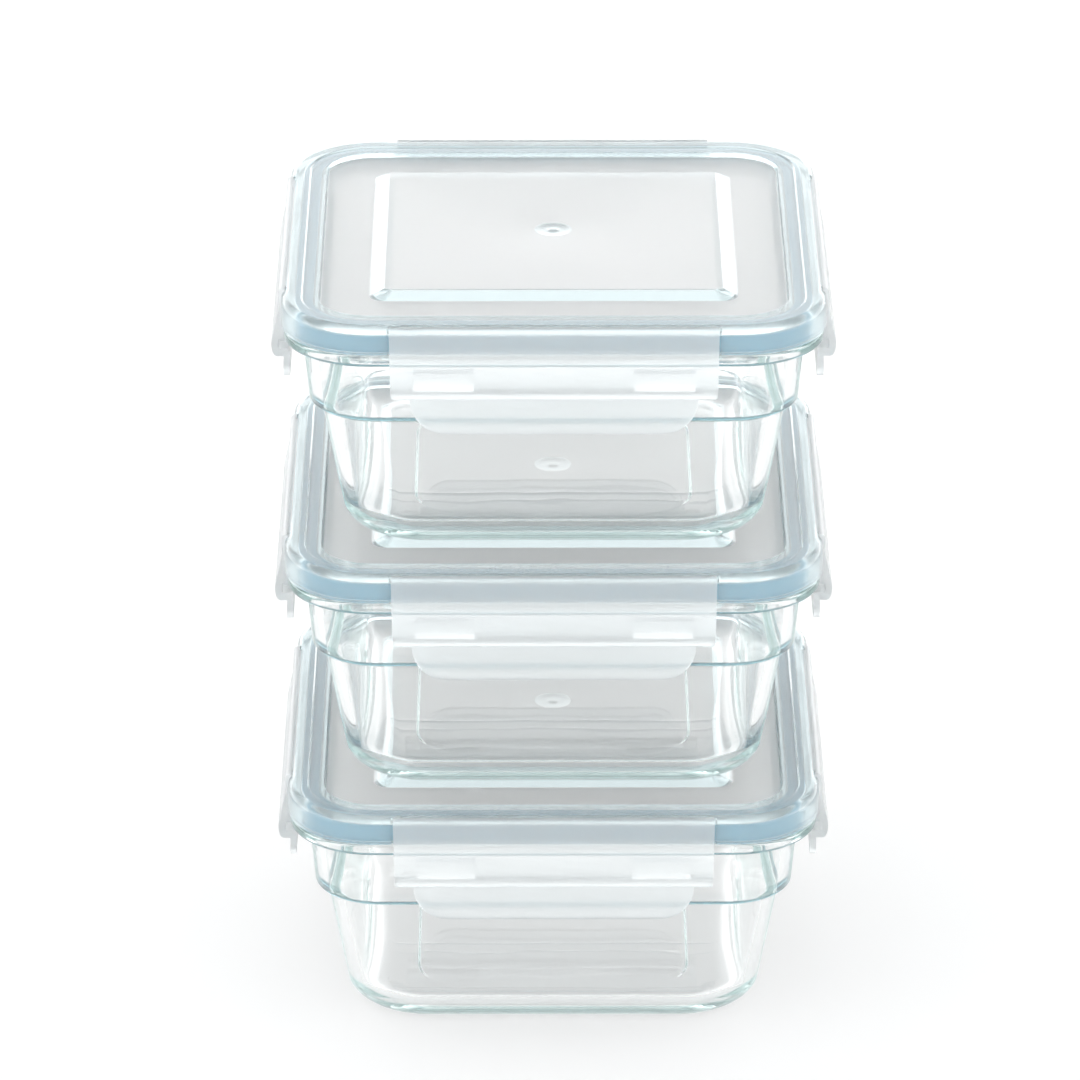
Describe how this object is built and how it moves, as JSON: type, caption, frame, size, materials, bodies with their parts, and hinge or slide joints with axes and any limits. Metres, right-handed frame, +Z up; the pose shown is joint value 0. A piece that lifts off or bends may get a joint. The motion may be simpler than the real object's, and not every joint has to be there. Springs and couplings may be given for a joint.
{
  "type": "glass storage container set",
  "caption": "Stacked square glass food containers with translucent clip-on lids, pale blue seals and latch flaps that hook under the glass flange",
  "frame": {"origin": "middle of the footprint, at the height of the bottom bowl's base", "axes": "+Z up the stack, -Y to the front of the containers, +X to the right as seen from the front"},
  "size_m": [0.1604, 0.1604, 0.2264],
  "materials": {
    "glass": "clear pressed soda-lime glass, smooth",
    "polypropylene": "translucent natural polypropylene, satin",
    "silicone": "pale blue silicone, satin"
  },
  "bodies": {
    "bottom_bowl": {"bottom_bowl": "glass"},
    "bottom_lid": {"bottom_lid": "polypropylene", "bottom_gasket": "silicone"},
    "bottom_latch_front": {"bottom_latch_front": "polypropylene"},
    "bottom_latch_right": {"bottom_latch_right": "polypropylene"},
    "bottom_latch_back": {"bottom_latch_back": "polypropylene"},
    "bottom_latch_left": {"bottom_latch_left": "polypropylene"},
    "middle_bowl": {"middle_bowl": "glass"},
    "middle_lid": {"middle_lid": "polypropylene", "middle_gasket": "silicone"},
    "middle_latch_front": {"middle_latch_front": "polypropylene"},
    "middle_latch_right": {"middle_latch_right": "polypropylene"},
    "middle_latch_back": {"middle_latch_back": "polypropylene"},
    "middle_latch_left": {"middle_latch_left": "polypropylene"},
    "top_bowl": {"top_bowl": "glass"},
    "top_lid": {"top_lid": "polypropylene", "top_gasket": "silicone"},
    "top_latch_front": {"top_latch_front": "polypropylene"},
    "top_latch_right": {"top_latch_right": "polypropylene"},
    "top_latch_back": {"top_latch_back": "polypropylene"},
    "top_latch_left": {"top_latch_left": "polypropylene"}
  },
  "joints": [
    {"name": "bottom_lid_lift", "type": "slide", "parent": "bottom_bowl", "child": "bottom_lid", "axis": [0, 0, 1], "range_m": [0, 0.025]},
    {"name": "bottom_latch_front_hinge", "type": "hinge", "parent": "bottom_lid", "child": "bottom_latch_front", "pos_m": [0, -0.076, 0.0749], "axis": [-1, 0, 0], "range_deg": [0, 150]},
    {"name": "bottom_latch_right_hinge", "type": "hinge", "parent": "bottom_lid", "child": "bottom_latch_right", "pos_m": [0.076, 0, 0.0749], "axis": [0, -1, 0], "range_deg": [0, 150]},
    {"name": "bottom_latch_back_hinge", "type": "hinge", "parent": "bottom_lid", "child": "bottom_latch_back", "pos_m": [0, 0.076, 0.0749], "axis": [1, 0, 0], "range_deg": [0, 150]},
    {"name": "bottom_latch_left_hinge", "type": "hinge", "parent": "bottom_lid", "child": "bottom_latch_left", "pos_m": [-0.076, 0, 0.0749], "axis": [0, 1, 0], "range_deg": [0, 150]},
    {"name": "middle_bowl_unstack", "type": "slide", "parent": "bottom_lid", "child": "middle_bowl", "axis": [0, 0, 1], "range_m": [0, 0.06]},
    {"name": "middle_lid_lift", "type": "slide", "parent": "middle_bowl", "child": "middle_lid", "axis": [0, 0, 1], "range_m": [0, 0.025]},
    {"name": "middle_latch_front_hinge", "type": "hinge", "parent": "middle_lid", "child": "middle_latch_front", "pos_m": [0, -0.076, 0.1504], "axis": [-1, 0, 0], "range_deg": [0, 150]},
    {"name": "middle_latch_right_hinge", "type": "hinge", "parent": "middle_lid", "child": "middle_latch_right", "pos_m": [0.076, 0, 0.1504], "axis": [0, -1, 0], "range_deg": [0, 150]},
    {"name": "middle_latch_back_hinge", "type": "hinge", "parent": "middle_lid", "child": "middle_latch_back", "pos_m": [0, 0.076, 0.1504], "axis": [1, 0, 0], "range_deg": [0, 150]},
    {"name": "middle_latch_left_hinge", "type": "hinge", "parent": "middle_lid", "child": "middle_latch_left", "pos_m": [-0.076, 0, 0.1504], "axis": [0, 1, 0], "range_deg": [0, 150]},
    {"name": "top_bowl_unstack", "type": "slide", "parent": "middle_lid", "child": "top_bowl", "axis": [0, 0, 1], "range_m": [0, 0.06]},
    {"name": "top_lid_lift", "type": "slide", "parent": "top_bowl", "child": "top_lid", "axis": [0, 0, 1], "range_m": [0, 0.025]},
    {"name": "top_latch_front_hinge", "type": "hinge", "parent": "top_lid", "child": "top_latch_front", "pos_m": [0, -0.076, 0.2259], "axis": [-1, 0, 0], "range_deg": [0, 150]},
    {"name": "top_latch_right_hinge", "type": "hinge", "parent": "top_lid", "child": "top_latch_right", "pos_m": [0.076, 0, 0.2259], "axis": [0, -1, 0], "range_deg": [0, 150]},
    {"name": "top_latch_back_hinge", "type": "hinge", "parent": "top_lid", "child": "top_latch_back", "pos_m": [0, 0.076, 0.2259], "axis": [1, 0, 0], "range_deg": [0, 150]},
    {"name": "top_latch_left_hinge", "type": "hinge", "parent": "top_lid", "child": "top_latch_left", "pos_m": [-0.076, 0, 0.2259], "axis": [0, 1, 0], "range_deg": [0, 150]}
  ],
  "couplings": [
    {"joint": "bottom_latch_front_hinge", "follows": "bottom_lid_lift", "rad_per_m": 104.7},
    {"joint": "bottom_latch_right_hinge", "follows": "bottom_lid_lift", "rad_per_m": 104.7},
    {"joint": "bottom_latch_back_hinge", "follows": "bottom_lid_lift", "rad_per_m": 104.7},
    {"joint": "bottom_latch_left_hinge", "follows": "bottom_lid_lift", "rad_per_m": 104.7},
    {"joint": "middle_latch_front_hinge", "follows": "middle_lid_lift", "rad_per_m": 104.7},
    {"joint": "middle_latch_right_hinge", "follows": "middle_lid_lift", "rad_per_m": 104.7},
    {"joint": "middle_latch_back_hinge", "follows": "middle_lid_lift", "rad_per_m": 104.7},
    {"joint": "middle_latch_left_hinge", "follows": "middle_lid_lift", "rad_per_m": 104.7},
    {"joint": "top_latch_front_hinge", "follows": "top_lid_lift", "rad_per_m": 104.7},
    {"joint": "top_latch_right_hinge", "follows": "top_lid_lift", "rad_per_m": 104.7},
    {"joint": "top_latch_back_hinge", "follows": "top_lid_lift", "rad_per_m": 104.7},
    {"joint": "top_latch_left_hinge", "follows": "top_lid_lift", "rad_per_m": 104.7}
  ]
}
